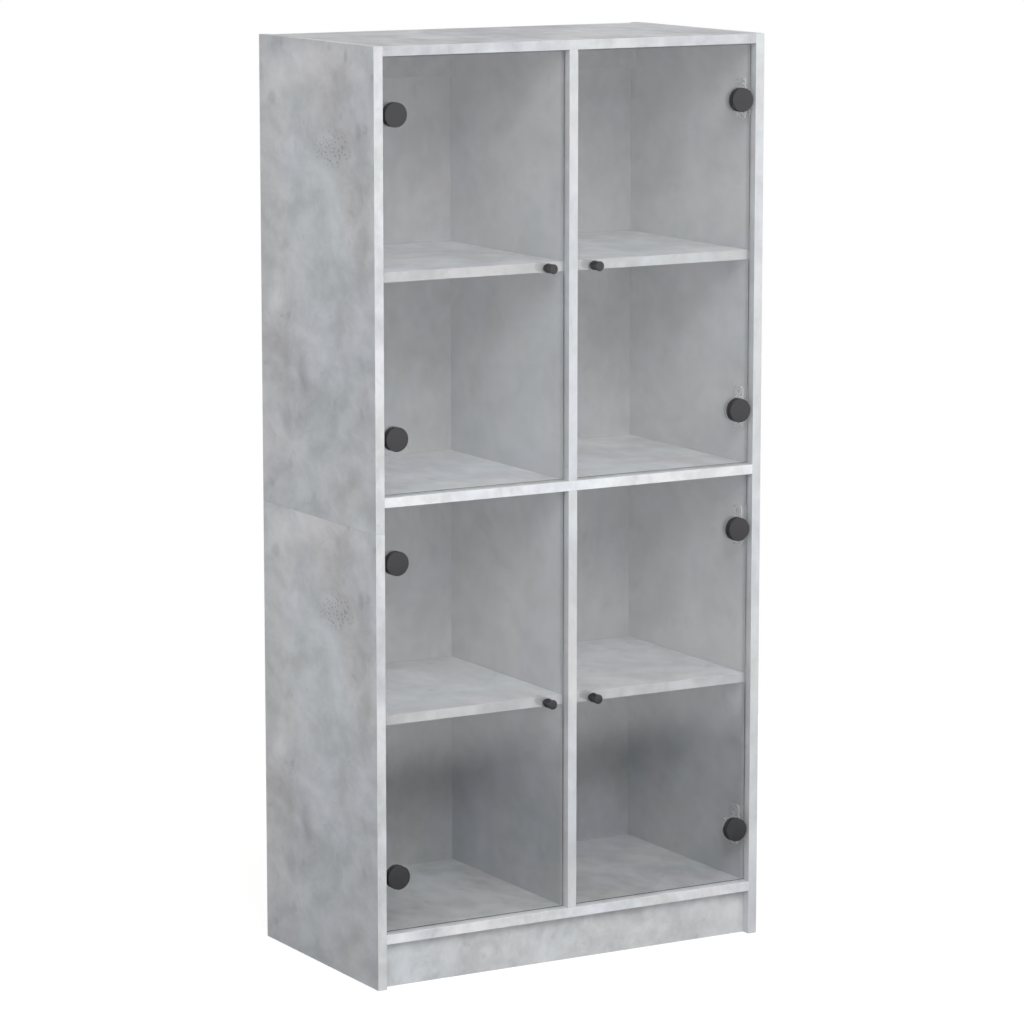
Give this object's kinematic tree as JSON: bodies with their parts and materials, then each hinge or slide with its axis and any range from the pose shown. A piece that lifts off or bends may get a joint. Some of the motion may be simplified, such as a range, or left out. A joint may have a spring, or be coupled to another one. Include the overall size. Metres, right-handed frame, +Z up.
{
  "type": "glass-door bookcase",
  "caption": "Tall free-standing bookcase of flat laminated boards with a centre divider, a middle board, shelves and frameless glass doors on concealed hinges.",
  "frame": {"origin": "middle of the footprint on the floor; the footprint runs from the knobs' front faces to the rear edges of the side panels", "axes": "+Z up, -Y towards the front with the doors, +X to the right seen from the front"},
  "size_m": [0.68, 0.3804, 1.42],
  "materials": {
    "board_laminate": "satin concrete-grey laminate on particle board",
    "back_panel": "satin grey laminate on thin fibre board",
    "door_glass": "clear toughened glass",
    "black_fittings": "satin black",
    "hinge_metal": "bright nickel plated",
    "fastener_steel": "zinc plated",
    "gasket": "soft dark",
    "dowel_wood": "raw beech"
  },
  "bodies": {
    "carcass": {"side_left_lower": "board_laminate", "side_left_upper": "board_laminate", "side_right_lower": "board_laminate", "side_right_upper": "board_laminate", "top_board": "board_laminate", "middle_board": "board_laminate", "bottom_board": "board_laminate", "plinth_board": "board_laminate", "divider_upper": "board_laminate", "divider_lower": "board_laminate", "rear_rails": "board_laminate", "shelf_upper_left": "board_laminate", "shelf_upper_right": "board_laminate", "shelf_lower_left": "board_laminate", "shelf_lower_right": "board_laminate", "back_panel_upper": "back_panel", "back_panel_lower": "back_panel", "dowels": "dowel_wood", "shelf_pins": "fastener_steel", "cam_locks": "fastener_steel", "cam_bolts": "fastener_steel", "back_panel_nails": "fastener_steel", "hinge_plate_screws": "fastener_steel", "hinge_arm_screws": "fastener_steel", "hinge_mounting_plates": "hinge_metal", "hinge_arms": "hinge_metal"},
    "door_upper_left": {"glass_door_upper_left": "door_glass", "knob_upper_left": "black_fittings", "knob_screw_upper_left": "fastener_steel", "gaskets_upper_left": "gasket", "hinge_caps_upper_left": "black_fittings", "hinge_bowls_upper_left": "hinge_metal", "hinge_pins_upper_left": "fastener_steel", "hinge_cap_screws_upper_left": "fastener_steel"},
    "door_upper_right": {"glass_door_upper_right": "door_glass", "knob_upper_right": "black_fittings", "knob_screw_upper_right": "fastener_steel", "gaskets_upper_right": "gasket", "hinge_caps_upper_right": "black_fittings", "hinge_bowls_upper_right": "hinge_metal", "hinge_pins_upper_right": "fastener_steel", "hinge_cap_screws_upper_right": "fastener_steel"},
    "door_lower_left": {"glass_door_lower_left": "door_glass", "knob_lower_left": "black_fittings", "knob_screw_lower_left": "fastener_steel", "gaskets_lower_left": "gasket", "hinge_caps_lower_left": "black_fittings", "hinge_bowls_lower_left": "hinge_metal", "hinge_pins_lower_left": "fastener_steel", "hinge_cap_screws_lower_left": "fastener_steel"},
    "door_lower_right": {"glass_door_lower_right": "door_glass", "knob_lower_right": "black_fittings", "knob_screw_lower_right": "fastener_steel", "gaskets_lower_right": "gasket", "hinge_caps_lower_right": "black_fittings", "hinge_bowls_lower_right": "hinge_metal", "hinge_pins_lower_right": "fastener_steel", "hinge_cap_screws_lower_right": "fastener_steel"}
  },
  "joints": [
    {"name": "door_upper_left_hinge", "type": "hinge", "parent": "carcass", "child": "door_upper_left", "pos_m": [-0.314, -0.1735, 1.07875], "axis": [0, 0, -1], "range_deg": [0, 95]},
    {"name": "door_upper_right_hinge", "type": "hinge", "parent": "carcass", "child": "door_upper_right", "pos_m": [0.314, -0.1735, 1.07875], "axis": [0, 0, 1], "range_deg": [0, 95]},
    {"name": "door_lower_left_hinge", "type": "hinge", "parent": "carcass", "child": "door_lower_left", "pos_m": [-0.314, -0.1735, 0.41125], "axis": [0, 0, -1], "range_deg": [0, 95]},
    {"name": "door_lower_right_hinge", "type": "hinge", "parent": "carcass", "child": "door_lower_right", "pos_m": [0.314, -0.1735, 0.41125], "axis": [0, 0, 1], "range_deg": [0, 95]}
  ]
}
